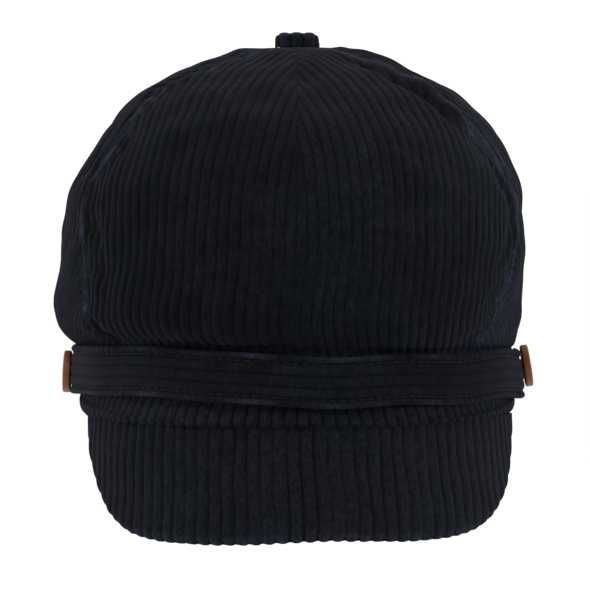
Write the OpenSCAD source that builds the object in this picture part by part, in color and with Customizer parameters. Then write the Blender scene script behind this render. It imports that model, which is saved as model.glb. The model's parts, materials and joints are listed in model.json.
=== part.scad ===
// Newsboy cap: six corduroy crown panels over a lining, a headband with a sweatband,
// a short curved peak, a covered top button, and a front strap held by two side buttons.
// Millimetres. +Z is up, the front faces -Y, and the origin is the centre of the head
// opening, level with the headband's lower edge. Left and right are the wearer's, so
// left is +X. Angles round the cap start at the centre front and grow towards +X.

/* [Head opening] */
// Half the width of the opening, inside the sweatband
opening_half_w = 82; // [79:0.5:85]
// Half the length of the opening, inside the sweatband
opening_half_l = 100; // [97:0.5:103]

/* [Headband] */
// Height of the outer headband, up to the crown's seam
band_h = 24; // [22:1:25]
// Height of the sweatband
sweatband_h = 31; // [27:1:34]

/* [Crown] */
// Height of the apex above the headband's lower edge
crown_top_z = 147; // [140:1:155]
// Height of the widest level of the crown
crown_wide_z = 44; // [40:1:50]
// How far the crown stands out beyond the headband at each side
crown_bulge_side = 7.6; // [5:0.2:10]
// How far it stands out at the front
crown_bulge_front = 9; // [6:0.5:12]
// How far it stands out at the back
crown_bulge_back = 13; // [8:0.5:18]
// Fullness of the dome seen from the side: 2 is an ellipse, more is squarer
crown_fullness = 2.5; // [2:0.05:2.8]
// Squareness of the crown's front half seen from above: 2 is an oval
front_squareness = 2.5; // [2:0.05:2.6]
// Squareness of its back half
back_squareness = 2.2; // [2:0.05:2.6]
// Angle that each front and back panel takes up round the crown
front_panel_angle = 64; // [58:1:66]

/* [Peak] */
// Slope of the peak below the horizontal, at its middle
peak_slope = 57; // [52:1:62]
// Drop from the headband's lower edge to the peak's front edge
peak_drop = 42; // [34:1:50]
// Half the width of the peak
peak_half_w = 83; // [78:0.5:83.5]
// Straightness of the peak's sides, seen from the front
peak_side_power = 10; // [4:0.5:12]
// Roundness of the peak's front corners: less is rounder
peak_front_power = 1.9; // [1.6:0.1:4]

/* [Strap and side buttons] */
// Height of the front strap
strap_h = 19.5; // [16:0.5:20]
// Height of the strap's middle line
strap_z = 17.4; // [14:0.1:17.6]
// Height of the left side button's centre
left_button_z = 17.6; // [15:0.1:18]
// Height of the right side button's centre
right_button_z = 15.6; // [15:0.1:18]
// Diameter of a side button
button_d = 17; // [15:0.5:17.5]
// Thickness of a side button
button_t = 3.1; // [2:0.1:3.2]
// How far the left button leans out at its lower edge
left_lean = 9; // [0:0.5:9.5]
// How far the right button leans out at its lower edge
right_lean = 2.5; // [0:0.5:9.5]

/* [Top button] */
// Diameter of the covered button at the apex
top_button_d = 18; // [15:0.5:22]
// Height of the covered button
top_button_h = 5.8; // [5:0.1:8]

/* [Hidden] */
$fn = 64;

cord_colour = "#1b1e2b";
lining_colour = "#20222c";
ribbon_colour = "#15161c";
board_colour = "#d8d6cc";
thread_colour = "#2b2f3c";
wood_colour = "#7a3f22";
metal_colour = "#b9bbc0";

// Cloth and board thicknesses, from the head outwards
sweatband_t = 1.4;
stiffener_t = 1.0;
cord_t = 2.2;
lining_t = 0.6;
layer_gap = 0.2;

stiffener_half_w = opening_half_w + sweatband_t + layer_gap;
stiffener_half_l = opening_half_l + sweatband_t + layer_gap;
band_half_w = stiffener_half_w + stiffener_t + layer_gap + cord_t;
band_half_l = stiffener_half_l + stiffener_t + layer_gap + cord_t;

// Panels: six gores, with a seam at the centre front and the centre back. The side panels
// take up what the front and back ones leave.
side_panel_angle = 180 - 2 * front_panel_angle;
side_start = front_panel_angle;
back_start = 180 - front_panel_angle;
seam_gap = 0.3;
apex_share = 0.035;
panel_columns = 8;
lower_rows = 4;
upper_rows = 12;
lining_looseness = 0.4;
lining_apex_drop = 3.2;

// Peak: one sheet bent round a cylinder whose axis slopes down to the front
peak_root_gap = 0.15;
peak_r = (band_half_l - 0.5) * sin(peak_slope);
board_t = 1.2;
under_t = 1.2;
board_inset = 2.5;
peak_columns = 32;
peak_rows = 5;

// Strap: hangs clear of the band, closest at its two ends
strap_clear_side = 0.8;
strap_clear_front = 3;
strap_end_angle = 96;
strap_columns = 48;
strap_face_t = 1.1;
interlining_t = 0.3;
strap_backing_t = 0.8;
interlining_inset = 2;
strap_half_w = band_half_w + strap_clear_side;
strap_half_l = band_half_l + strap_clear_front;
strap_t = strap_face_t + interlining_t + strap_backing_t;
strap_out_w = strap_half_w + strap_t;

// Side buttons, sewn on through the strap and the band
shank_r = 1.5;
shank_clear = 0.1;
shank_len = 1.4;
post_r = 1.25;
shank_to_button = 0.1;
pivot_x = strap_out_w;
hole_r = 0.95;
hole_offset = 2.2;
strand_r = 0.6;
rim_w = 1.6;
dish_depth = 0.5;

function smooth(t) = t * t * (3 - 2 * t);
function oval(half_w, half_l, a, z, middle = 0) = [half_w * sin(a), middle - half_l * cos(a), z];
// How far an oval is pushed out at an angle to make it squarer
function squaring(a, square) = pow(pow(abs(sin(a)), square) + pow(abs(cos(a)), square), -1 / square);
function flat(rows) = [for (row = rows) each row];

// Two triangles for four corners listed clockwise, seen from outside
function quad(a, b, c, d) = [[a, b, c], [a, c, d]];

// A closed solid between two grids of points of the same size: outer[i][j] and inner[i][j].
// i runs round the cap and j upwards. closed joins the last column to the first.
module cloth(outer, inner, closed = false) {
    n = len(outer);
    m = len(outer[0]);
    last = closed ? n - 1 : n - 2;
    function o(i, j) = (i % n) * m + j;
    function q(i, j) = n * m + o(i, j);
    sides = [for (i = [0:last], j = [0:m - 2]) each concat(
        quad(o(i, j), o(i, j + 1), o(i + 1, j + 1), o(i + 1, j)),
        quad(q(i, j), q(i + 1, j), q(i + 1, j + 1), q(i, j + 1)))];
    rims = [for (i = [0:last]) each concat(
        quad(o(i, 0), o(i + 1, 0), q(i + 1, 0), q(i, 0)),
        quad(o(i + 1, m - 1), o(i, m - 1), q(i, m - 1), q(i + 1, m - 1)))];
    ends = closed ? [] : [for (j = [0:m - 2]) each concat(
        quad(o(0, j + 1), o(0, j), q(0, j), q(0, j + 1)),
        quad(o(n - 1, j), o(n - 1, j + 1), q(n - 1, j + 1), q(n - 1, j)))];
    polyhedron(points = concat(flat(outer), flat(inner)), faces = concat(sides, rims, ends));
}

// ---- Crown and lining ----

// Half width, half length, middle and height of one level of the dome, and how far it has
// turned from the band's oval, 0, to its full squareness, 1.
// row 0 is the seam on the headband, lower_rows the widest level, the last row the apex.
// inset moves the level inwards, and drop lowers the apex.
function dome_level(row, inset, drop) =
    row <= lower_rows
    ? let (t = row / lower_rows,
           e = smooth(t),
           above_strap = max(0, (row - 1) / (lower_rows - 1)))
        [band_half_w + crown_bulge_side * e - inset,
         band_half_l + (crown_bulge_front + crown_bulge_back) / 2 * e - inset,
         (crown_bulge_back - crown_bulge_front) / 2 * e,
         band_h + layer_gap + (crown_wide_z - band_h - layer_gap) * t,
         smooth(above_strap)]
    : let (power = 2 / crown_fullness,
           apex_v = acos(pow(apex_share, 1 / power)),
           v = apex_v * (row - lower_rows) / upper_rows,
           share = pow(cos(v), power),
           wide = dome_level(lower_rows, inset, drop))
        [wide[0] * share, wide[1] * share, wide[2] * share,
         crown_wide_z + (crown_top_z - crown_wide_z - inset - drop) * pow(sin(v), power),
         1];

// One level's points across a panel, with half the seam gap left at each side
function dome_row(row, start, angle, inset, drop) =
    let (level = dome_level(row, inset, drop),
         trim = asin(seam_gap / 2 / level[0]))
    [for (i = [0:panel_columns])
        let (a = start + trim + (angle - 2 * trim) * i / panel_columns,
             square = cos(a) > 0 ? front_squareness : back_squareness,
             push = squaring(a, 2 + (square - 2) * level[4]))
        oval(level[0] * push, level[1] * push, a, level[3], level[2])];

function dome_grid(start, angle, inset, drop) =
    let (rows = [for (row = [0:lower_rows + upper_rows]) dome_row(row, start, angle, inset, drop)])
    [for (i = [0:panel_columns]) [for (row = rows) row[i]]];

module crown_panel(start, angle) {
    color(cord_colour) cloth(dome_grid(start, angle, 0, 0), dome_grid(start, angle, cord_t, 0));
}

module lining_panel(start, angle) {
    inset = cord_t + lining_looseness;
    color(lining_colour) cloth(dome_grid(start, angle, inset, lining_apex_drop),
                               dome_grid(start, angle, inset + lining_t, lining_apex_drop));
}

// ---- Headband ----

// A strip round the head: a closed ring, or the part of it between two angles
module strip(half_w, half_l, thickness, low, high, from = 0, to = 360, columns = 72) {
    whole = to - from >= 360;
    angles = [for (i = [0:columns - (whole ? 1 : 0)]) from + (to - from) * i / columns];
    cloth([for (a = angles) [oval(half_w + thickness, half_l + thickness, a, low),
                             oval(half_w + thickness, half_l + thickness, a, high)]],
          [for (a = angles) [oval(half_w, half_l, a, low), oval(half_w, half_l, a, high)]],
          whole);
}

function button_z(side) = side > 0 ? left_button_z : right_button_z;

// The holes through both sides, where the side buttons are sewn on
module button_holes() {
    for (side = [-1, 1])
        translate([side * band_half_w, 0, button_z(side)])
            rotate([0, 90, 0])
                cylinder(r = shank_r + shank_clear, h = 30, center = true);
}

module headband() {
    color(cord_colour) difference() {
        strip(band_half_w - cord_t, band_half_l - cord_t, cord_t, 0, band_h);
        button_holes();
    }
}

// Stiffener and elastic share one layer: the stiffener in front, the elastic at the back
stiffener_end = 124;
elastic_start = 128;

module band_stiffener() {
    color(board_colour) difference() {
        strip(stiffener_half_w, stiffener_half_l, stiffener_t, 1.5, band_h - 1.5,
              -stiffener_end, stiffener_end, 62);
        button_holes();
    }
}

module back_elastic() {
    color(ribbon_colour)
        strip(stiffener_half_w, stiffener_half_l, stiffener_t, 2, band_h - 2,
              elastic_start, 360 - elastic_start, 26);
}

module sweatband() {
    color(ribbon_colour)
        strip(opening_half_w, opening_half_l, sweatband_t, 0.5, sweatband_h);
}

// A blank folded label on the sweatband at the centre back
label_w = 24;
label_h = 18;
label_t = 0.5;

module size_label() {
    color("ivory")
        translate([-label_w / 2, opening_half_l - 1.5 - label_t, 6])
            cube([label_w, label_t, label_h]);
}

// ---- Peak ----

// Height of the peak's outer edge at a distance x from the middle
function peak_edge_z(x) =
    -peak_drop * pow(1 - pow(abs(x) / peak_half_w, peak_side_power), 1 / peak_front_power);

// A point of the peak: x across at the top surface, share 0 at the seam and 1 at the edge,
// depth below the top surface, and inset back from the edge
function peak_point(x, share, depth, inset) =
    let (phi = asin(x / peak_r),
         r = peak_r - depth,
         root = (r * cos(phi) * cos(peak_slope) + peak_root_gap) / sin(peak_slope),
         edge = (peak_r * cos(phi) * cos(peak_slope) - peak_edge_z(x)) / sin(peak_slope),
         along = root + (max(edge - inset, root + 0.3) - root) * share)
    [r * sin(phi),
     -r * cos(phi) * sin(peak_slope) - along * cos(peak_slope),
     r * cos(phi) * cos(peak_slope) - along * sin(peak_slope)];

// j runs from the edge up to the seam
function peak_grid(depth, inset, side_inset) =
    [for (i = [0:peak_columns])
        let (x = (peak_half_w - side_inset) * 0.996 * sin(90 * (2 * i / peak_columns - 1)))
        [for (j = [0:peak_rows]) peak_point(x, 1 - j / peak_rows, depth, inset)]];

module peak_layer(top, thickness, inset = 0, side_inset = 0) {
    cloth(peak_grid(top, inset, side_inset), peak_grid(top + thickness, inset, side_inset));
}

module peak_top() {
    color(cord_colour) peak_layer(0, cord_t);
}

module peak_board() {
    color(board_colour) peak_layer(cord_t + 0.1, board_t, board_inset, board_inset);
}

module peak_underside() {
    color(cord_colour) peak_layer(cord_t + board_t + 0.2, under_t);
}

// ---- Strap ----

// Half the strap's height at an angle: full in front, with rounded corners at its ends
function strap_half_h(a, inset) =
    let (corner = 5,
         to_end = (strap_end_angle - abs(a)) * PI / 180 * strap_half_l,
         cut = to_end >= corner ? 0 : corner - sqrt(corner * corner - pow(corner - to_end, 2)))
    strap_h / 2 - inset - cut;

// All layers share the same columns, so that their faces meet flat. left_out is how many
// columns a layer stops short at each end.
module strap_layer(from_back, thickness, inset = 0, left_out = 0) {
    // The columns crowd towards the ends, where the corners are rounded
    angles = [for (i = [left_out:strap_columns - left_out])
              strap_end_angle * sin(90 * (2 * i / strap_columns - 1))];
    function edge(a, out, sign) = oval(strap_half_w + out, strap_half_l + out, a,
                                       strap_z + sign * strap_half_h(a, inset));
    difference() {
        cloth([for (a = angles) [edge(a, from_back + thickness, -1), edge(a, from_back + thickness, 1)]],
              [for (a = angles) [edge(a, from_back, -1), edge(a, from_back, 1)]]);
        button_holes();
    }
}

module strap_face() {
    color(cord_colour) strap_layer(strap_backing_t + interlining_t, strap_face_t);
}

module strap_interlining() {
    color(board_colour) strap_layer(strap_backing_t, interlining_t, interlining_inset, 3);
}

module strap_backing() {
    color(cord_colour) strap_layer(0, strap_backing_t);
}

// ---- Side buttons ----

// Places its children at a side's sewing point, with +Z pointing straight out from the cap
module at_side(side, lean = 0) {
    translate([side * pivot_x, 0, button_z(side)])
        rotate([0, side * (90 - lean), 0])
            children();
}

// The sewing thread: straight through the band and the strap, then wound into a short
// post that leans with the button
module button_shank(side, lean) {
    through = pivot_x - stiffener_half_w;
    color(thread_colour) {
        at_side(side)
            translate([0, 0, -through])
                cylinder(r = shank_r, h = through + 0.3);
        at_side(side, lean)
            translate([0, 0, -0.4])
                cylinder(r = post_r, h = 0.4 + shank_len);
    }
}

button_back = shank_len + shank_to_button;

module button_disc(side, lean) {
    edge = 0.5;
    r = button_d / 2;
    color(wood_colour) at_side(side, lean)
        translate([0, 0, button_back])
            difference() {
                rotate_extrude()
                    polygon([[0, 0], [r - edge, 0], [r, edge], [r, button_t - edge],
                             [r - edge, button_t], [0, button_t]]);
                translate([0, 0, button_t - dish_depth])
                    cylinder(r1 = r - rim_w - 0.6, r2 = r - rim_w, h = dish_depth + 0.01);
                for (turn = [45:90:315])
                    rotate([0, 0, turn])
                        translate([hole_offset, 0, -1])
                            cylinder(r = hole_r, h = button_t + 2);
            }
}

// Thread through the four holes, crossed on the button's face
module button_cross_stitch(side, lean) {
    face = button_back + button_t - dish_depth;
    color(thread_colour) at_side(side, lean)
        for (turn = [45, 135]) {
            rise = turn == 45 ? 0.1 : 1.0;
            rotate([0, 0, turn]) {
                for (end = [-1, 1])
                    translate([end * hole_offset, 0, button_back])
                        cylinder(r = strand_r, h = face + rise + strand_r - button_back);
                translate([-hole_offset, -strand_r, face + rise])
                    cube([2 * hole_offset, 2 * strand_r, strand_r]);
            }
        }
}

// ---- Top button ----

top_button_z = crown_top_z + 0.1;

// A dome open underneath, standing on the apex
module dome_shell(r, h, t) {
    steps = 10;
    function arc(x, z) = [for (i = [0:steps])
                          [x * pow(cos(90 * i / steps), 0.7), z * pow(sin(90 * i / steps), 0.8)]];
    inside = arc(r - t, h - t);
    translate([0, 0, top_button_z])
        rotate_extrude()
            polygon(concat(arc(r, h), [for (i = [steps:-1:0]) inside[i]]));
}

module top_button_cover() {
    color(cord_colour) dome_shell(top_button_d / 2, top_button_h, 1.5);
}

module top_button_shell() {
    color(metal_colour) dome_shell(top_button_d / 2 - 1.6, top_button_h - 1.6, 0.5);
}

// Back plate, stem through the apex, and the washer that the stem is riveted over
module top_button_fastener() {
    stem_r = 1.4;
    plate_t = 0.6;
    washer_z = crown_top_z - cord_t - 0.2 - plate_t;
    color(metal_colour) {
        translate([0, 0, top_button_z])
            cylinder(r = top_button_d / 2 - 2.6, h = plate_t);
        translate([0, 0, washer_z])
            cylinder(r = stem_r, h = top_button_z + plate_t - washer_z);
        translate([0, 0, washer_z])
            cylinder(r = 6, h = plate_t);
    }
}

crown_panel(0, front_panel_angle);  // crown_panel_front_left
crown_panel(side_start, side_panel_angle);  // crown_panel_side_left
crown_panel(back_start, front_panel_angle);  // crown_panel_back_left
crown_panel(180, front_panel_angle);  // crown_panel_back_right
crown_panel(180 + side_start, side_panel_angle);  // crown_panel_side_right
crown_panel(-front_panel_angle, front_panel_angle);  // crown_panel_front_right
lining_panel(0, front_panel_angle);  // lining_panel_front_left
lining_panel(side_start, side_panel_angle);  // lining_panel_side_left
lining_panel(back_start, front_panel_angle);  // lining_panel_back_left
lining_panel(180, front_panel_angle);  // lining_panel_back_right
lining_panel(180 + side_start, side_panel_angle);  // lining_panel_side_right
lining_panel(-front_panel_angle, front_panel_angle);  // lining_panel_front_right
headband();
band_stiffener();
back_elastic();
sweatband();
size_label();
peak_top();
peak_board();
peak_underside();
top_button_cover();
top_button_shell();
top_button_fastener();
strap_face();
strap_interlining();
strap_backing();
button_disc(1, left_lean);  // left_button
button_cross_stitch(1, left_lean);  // left_button_cross_stitch
button_shank(1, left_lean);  // left_button_shank
button_disc(-1, right_lean);  // right_button
button_cross_stitch(-1, right_lean);  // right_button_cross_stitch
button_shank(-1, right_lean);  // right_button_shank
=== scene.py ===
"""The looks of a newsboy cap in very dark wide-wale corduroy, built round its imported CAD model.

Lengths in this file are in millimetres and MM turns them into Blender's metres. Angles round the
cap are in degrees: 0 at the centre front (-Y), growing towards the wearer's left (+X).
A cloth surface is a grid of points: the first index runs round the cap, the second upwards.
"""
import json
import math

import bpy
import numpy as np
from mathutils import Matrix, Vector


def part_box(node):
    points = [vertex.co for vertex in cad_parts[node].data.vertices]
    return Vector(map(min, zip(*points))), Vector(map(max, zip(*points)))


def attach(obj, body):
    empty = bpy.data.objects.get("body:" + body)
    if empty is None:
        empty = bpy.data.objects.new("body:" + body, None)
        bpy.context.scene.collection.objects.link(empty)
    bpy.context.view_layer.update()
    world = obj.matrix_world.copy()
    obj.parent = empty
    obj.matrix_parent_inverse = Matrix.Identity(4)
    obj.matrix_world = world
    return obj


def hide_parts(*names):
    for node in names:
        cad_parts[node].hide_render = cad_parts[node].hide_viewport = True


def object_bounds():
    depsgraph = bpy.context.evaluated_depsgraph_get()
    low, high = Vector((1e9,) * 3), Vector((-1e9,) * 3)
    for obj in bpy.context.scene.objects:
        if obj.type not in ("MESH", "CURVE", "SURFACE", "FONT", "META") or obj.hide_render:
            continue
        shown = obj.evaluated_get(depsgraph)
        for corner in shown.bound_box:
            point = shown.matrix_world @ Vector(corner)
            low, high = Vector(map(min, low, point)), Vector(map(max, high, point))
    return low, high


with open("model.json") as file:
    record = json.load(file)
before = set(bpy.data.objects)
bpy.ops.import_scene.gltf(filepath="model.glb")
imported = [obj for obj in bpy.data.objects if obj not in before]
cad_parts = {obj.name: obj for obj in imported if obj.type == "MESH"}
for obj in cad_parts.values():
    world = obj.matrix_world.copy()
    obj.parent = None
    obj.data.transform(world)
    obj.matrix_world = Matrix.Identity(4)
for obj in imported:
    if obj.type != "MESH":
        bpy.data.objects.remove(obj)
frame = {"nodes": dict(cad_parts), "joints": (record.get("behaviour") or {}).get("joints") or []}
cad_low, cad_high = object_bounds()

MM = 0.001


def cad_box(node):
    """A CAD node's lowest and highest corner, in millimetres."""
    low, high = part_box(node)
    return low / MM, high / MM


# ---- Sizes, from the frame ----

BAND_W, BAND_L, BAND_H = cad_box("headband")[1]
OPEN_W, OPEN_L, SWEATBAND_TOP = cad_box("sweatband")[1]
CROWN_W = cad_box("crown_panel_side_left")[1].x
CROWN_FRONT = -cad_box("crown_panel_front_left")[0].y
CROWN_BACK = cad_box("crown_panel_back_left")[1].y
CROWN_TOP = cad_box("crown_panel_front_left")[1].z
STRAP_LOW, STRAP_TOP = cad_box("strap_face")[0].z, cad_box("strap_face")[1].z
STRAP_Z = (STRAP_LOW + STRAP_TOP) / 2
STRAP_H = STRAP_TOP - STRAP_LOW
STRAP_OUT_W = cad_box("strap_face")[1].x
STRAP_OUT_L = -cad_box("strap_face")[0].y
PEAK_HALF_W = cad_box("peak_top")[1].x
JOINTS = {j["name"]: j for j in frame["joints"]}
STRAP_SWING = math.radians(JOINTS["strap_swing"]["range_deg"][1])

# ---- Sizes of the cloth ----

WALE_PITCH = 5.08          # five ridges to the inch, on the band and the peak
CROWN_PITCH = 4.2          # the crown's cloth is eased in, so its ridges stand closer
STRAP_PITCH = 4.5
WALE_H = 0.85
PILE_ROOM = 1.3            # the crown's smooth surface lies this far inside its widest size
CORD_T = 2.0
STRAP_T = 2.2
GORES = ["front_left", "side_left", "back_left", "back_right", "side_right", "front_right"]


# ---- Numbers that look like cloth ----

def wander(coords, wavelength, seed, waves=7):
    """Smooth noise of about -1 to 1 at points given as (..., k), with humps a wavelength apart."""
    rng = np.random.default_rng(seed)
    coords = np.asarray(coords, float)
    total = 0
    for _ in range(waves):
        direction = rng.normal(size=coords.shape[-1])
        direction /= np.linalg.norm(direction)
        turn = 2 * np.pi / (wavelength * rng.uniform(0.7, 1.5))
        total = total + np.sin(coords @ direction * turn + rng.uniform(0, 2 * np.pi))
    return total / math.sqrt(waves)


def wander_along(values, wavelength, seed):
    return wander(np.asarray(values, float)[..., None], wavelength, seed)


def bump(x, middle, width):
    """A smooth hump of height 1."""
    return np.exp(-((x - middle) / width) ** 2)


def ease(x, start, end):
    """0 before start, 1 after end, smooth between."""
    t = np.clip((x - start) / (end - start), 0, 1)
    return t * t * (3 - 2 * t)


def smoothed(values, reach):
    """A running mean over this many values each way."""
    window = 2 * reach + 1
    return np.convolve(np.pad(values, reach, mode="edge"), np.ones(window) / window, "valid")


def wale(across, pitch=WALE_PITCH):
    """Height of the corduroy's ridges at a distance across them: 0 in a valley, 1 on a ridge."""
    return 1 - np.abs(2 * (across / pitch % 1) - 1) ** 2.6


# ---- Grids and meshes ----

def wrapped(grid):
    """A closed grid with its first line repeated after its last."""
    return np.concatenate([grid, grid[:1]])


def grid_normals(grid, closed=False):
    """Unit normals of a grid. They point out where its first index runs round and its second up."""
    if closed:
        along = np.roll(grid, -1, 0) - np.roll(grid, 1, 0)
    else:
        along = np.gradient(grid, axis=0)
    up = np.gradient(grid, axis=1)
    n = np.cross(along, up)
    return n / np.maximum(np.linalg.norm(n, axis=2, keepdims=True), 1e-9)


def arc_lengths(grid, axis):
    """Distance along each line of a grid from its first point."""
    steps = np.linalg.norm(np.diff(grid, axis=axis), axis=2)
    return np.cumsum(np.insert(steps, 0, 0, axis=axis), axis=axis)


def shell_faces(n, m, closed):
    """Quads of a closed solid between an outer and an inner grid of n by m points."""
    outer = np.arange(n * m).reshape(n, m)
    if closed:
        outer = wrapped(outer)
    inner = outer + n * m

    def quads(a, b, c, d):
        return np.stack([a, b, c, d], -1).reshape(-1, 4)

    parts = [
        quads(outer[:-1, :-1], outer[1:, :-1], outer[1:, 1:], outer[:-1, 1:]),
        quads(inner[:-1, 1:], inner[1:, 1:], inner[1:, :-1], inner[:-1, :-1]),
        quads(inner[:-1, 0], inner[1:, 0], outer[1:, 0], outer[:-1, 0]),
        quads(outer[:-1, -1], outer[1:, -1], inner[1:, -1], inner[:-1, -1]),
    ]
    if not closed:
        parts.append(quads(outer[0, :-1], outer[0, 1:], inner[0, 1:], inner[0, :-1]))
        parts.append(quads(inner[-1, :-1], inner[-1, 1:], outer[-1, 1:], outer[-1, :-1]))
    return np.vstack(parts)


def round_faces(rings, sides, base=0):
    """Faces of a round solid: quads between its rings of points, and then its two end caps."""
    faces = []
    for ring in range(rings - 1):
        for k in range(sides):
            i, j = base + ring * sides + k, base + ring * sides + (k + 1) % sides
            faces.append([i, j, j + sides, i + sides])
    faces.append([base + k for k in range(sides)][::-1])
    faces.append([base + (rings - 1) * sides + k for k in range(sides)])
    return faces


def make_piece(name, points, faces, body, material, pile=None, cloth=None, wear_and_painted_light=None):
    """A mesh piece in the shared frame, riding on a body. pile is the height of the ridges, 0 to 1,
    which the material also paints dark in the valleys as shade, cloth the place in the flat cloth,
    in ridges and millimetres, with a painted brightening or darkening by place, and the last one how
    much wear the pile shows together with painted highlights and light; all three are for the material."""
    mesh = bpy.data.meshes.new(name)
    faces = faces.tolist() if isinstance(faces, np.ndarray) else faces
    mesh.from_pydata((np.asarray(points) * MM).tolist(), [], faces)
    mesh.validate()
    mesh.shade_smooth()
    mesh.set_sharp_from_angle(angle=math.radians(75))
    for key, kind, field, values in (("pile", "FLOAT", "value", pile),
                                     ("cloth", "FLOAT_VECTOR", "vector", cloth),
                                     ("wear_and_painted_light", "FLOAT", "value", wear_and_painted_light)):
        if values is not None:
            data = mesh.attributes.new(key, kind, "POINT").data
            data.foreach_set(field, np.asarray(values, np.float32).ravel())
    obj = bpy.data.objects.new(name, mesh)
    bpy.context.scene.collection.objects.link(obj)
    mesh.materials.append(material)
    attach(obj, body)
    return obj


def cloth_shell(name, outer, inner, body, slot, material, closed=False, pile=None, cloth=None,
                wear_and_painted_light=None):
    """A cloth layer as a closed solid between two grids."""
    n, m = outer.shape[:2]
    points = np.concatenate([outer.reshape(-1, 3), inner.reshape(-1, 3)])
    if pile is not None:
        pile = np.concatenate([np.broadcast_to(pile, (n, m)).ravel(), np.full(n * m, 0.6)])
        wear_and_painted_light = np.zeros((n, m)) if wear_and_painted_light is None else np.broadcast_to(wear_and_painted_light, (n, m))
        wear_and_painted_light = np.concatenate([wear_and_painted_light.ravel(), np.zeros(n * m)])
    if cloth is not None:
        cloth = np.concatenate([cloth.reshape(-1, 3)] * 2)
    return make_piece(name, points, shell_faces(n, m, closed), body, material, pile, cloth,
                      wear_and_painted_light)


# ---- Materials ----

class Nodes:
    """Short ways to build a material's node tree."""

    def __init__(self, name):
        self.material = bpy.data.materials.new(name)
        self.material.use_nodes = True
        self.tree = self.material.node_tree
        self.shader = self.tree.nodes["Principled BSDF"]

    def add(self, kind, inputs=None, **settings):
        node = self.tree.nodes.new(kind)
        for key, value in settings.items():
            setattr(node, key, value)
        for key, value in (inputs or {}).items():
            if isinstance(value, bpy.types.NodeSocket):
                self.tree.links.new(value, node.inputs[key])
            else:
                node.inputs[key].default_value = value
        return node

    def place(self):
        return self.add("ShaderNodeTexCoord").outputs["Object"]

    def attribute(self, name, output):
        return self.add("ShaderNodeAttribute", attribute_name=name).outputs[output]

    def noise(self, vector, scale, detail=3.0, roughness=0.55):
        return self.add("ShaderNodeTexNoise", {"Vector": vector, "Scale": scale, "Detail": detail,
                                               "Roughness": roughness}).outputs["Fac"]

    def stretched(self, vector, scale):
        return self.add("ShaderNodeMapping", {"Vector": vector, "Scale": scale}).outputs["Vector"]

    def range(self, value, low, high, to_low=0.0, to_high=1.0):
        return self.add("ShaderNodeMapRange", {"Value": value, "From Min": low, "From Max": high,
                                               "To Min": to_low, "To Max": to_high}).outputs["Result"]

    def math(self, operation, a, b):
        return self.add("ShaderNodeMath", {0: a, 1: b}, operation=operation).outputs["Value"]

    def vector_math(self, operation, *inputs):
        node = self.add("ShaderNodeVectorMath", dict(enumerate(inputs)), operation=operation)
        return node.outputs["Vector"]

    def mix(self, share, a, b, blend="MIX"):
        node = self.add("ShaderNodeMix", data_type="RGBA", blend_type=blend)
        for index, value in ((0, share), (6, a), (7, b)):
            if isinstance(value, bpy.types.NodeSocket):
                self.tree.links.new(value, node.inputs[index])
            else:
                node.inputs[index].default_value = value
        return node.outputs[2]

    def bump(self, height, distance, strength=1.0, normal=None):
        inputs = {"Height": height, "Distance": distance, "Strength": strength}
        if normal is not None:
            inputs["Normal"] = normal
        return self.add("ShaderNodeBump", inputs).outputs["Normal"]

    def finish(self, **inputs):
        for key, value in inputs.items():
            socket = self.shader.inputs[key.replace("_", " ")]
            if isinstance(value, bpy.types.NodeSocket):
                self.tree.links.new(value, socket)
            else:
                socket.default_value = value
        return self.material


def rgb(r, g, b):
    return (r, g, b, 1.0)


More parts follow.
